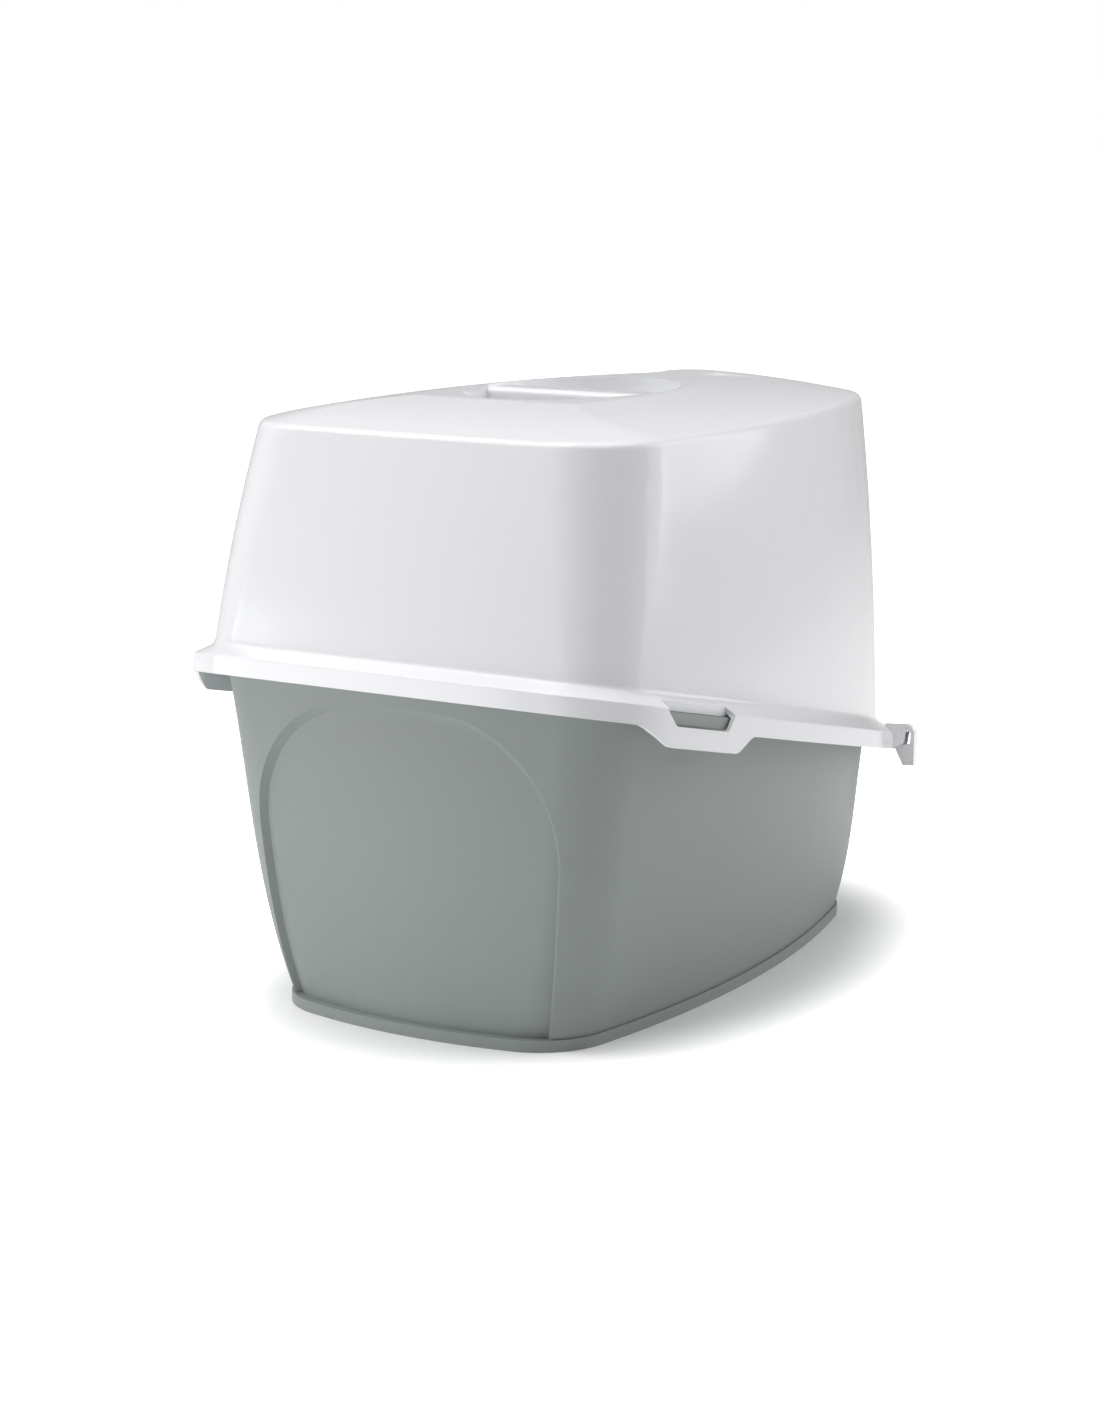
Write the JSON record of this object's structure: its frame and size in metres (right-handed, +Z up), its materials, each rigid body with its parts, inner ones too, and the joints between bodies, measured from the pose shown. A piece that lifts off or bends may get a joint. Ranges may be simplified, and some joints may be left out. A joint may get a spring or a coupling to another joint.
{
  "type": "covered litter box",
  "caption": "Hooded pet litter box: tray with a sloping rim, lift-off cover with recessed top handle, swing flap, side hand grips, front latches and roof filter.",
  "frame": {"origin": "on the floor, in the middle of the box that bounds the part", "axes": "-Y toward the entrance, +Y toward the high back wall, +Z up, +X toward the left side seen from the entrance's inside"},
  "size_m": [0.39, 0.56, 0.413],
  "materials": {
    "tray": "grey-green, fine satin grain",
    "hood": "cool white, glossy",
    "flap": "smoky, see-through",
    "latch": "cool white, glossy",
    "pin": "natural, smooth",
    "filter": "black open foam",
    "cover": "grey-green, satin"
  },
  "bodies": {
    "tray": {"litter_tray": "tray"},
    "hood": {"hood": "hood", "flap_pin_left": "pin", "flap_pin_right": "pin", "latch_pin_left": "pin", "latch_pin_right": "pin", "carbon_filter": "filter"},
    "flap": {"flap_door": "flap"},
    "latch_left": {"latch_left": "latch"},
    "latch_right": {"latch_right": "latch"},
    "cover": {"filter_cover": "cover"}
  },
  "joints": [
    {"name": "hood_lift", "type": "slide", "parent": "tray", "child": "hood", "axis": [0, 0, 1], "range_m": [0, 0.2]},
    {"name": "flap_swing", "type": "hinge", "parent": "hood", "child": "flap", "pos_m": [0, -0.191, 0.331], "axis": [1, 0, 0], "range_deg": [-75, 75]},
    {"name": "latch_left_turn", "type": "hinge", "parent": "hood", "child": "latch_left", "pos_m": [0.13994, -0.20072, 0.14656], "axis": [-0.37, -0.9079, -0.197], "range_deg": [0, 60]},
    {"name": "latch_right_turn", "type": "hinge", "parent": "hood", "child": "latch_right", "pos_m": [-0.13994, -0.20072, 0.14656], "axis": [-0.37, 0.9079, 0.197], "range_deg": [0, 60]},
    {"name": "cover_swing", "type": "hinge", "parent": "hood", "child": "cover", "pos_m": [0, 0.1078, 0.3647], "axis": [1, 0, 0], "range_deg": [0, 75]}
  ]
}
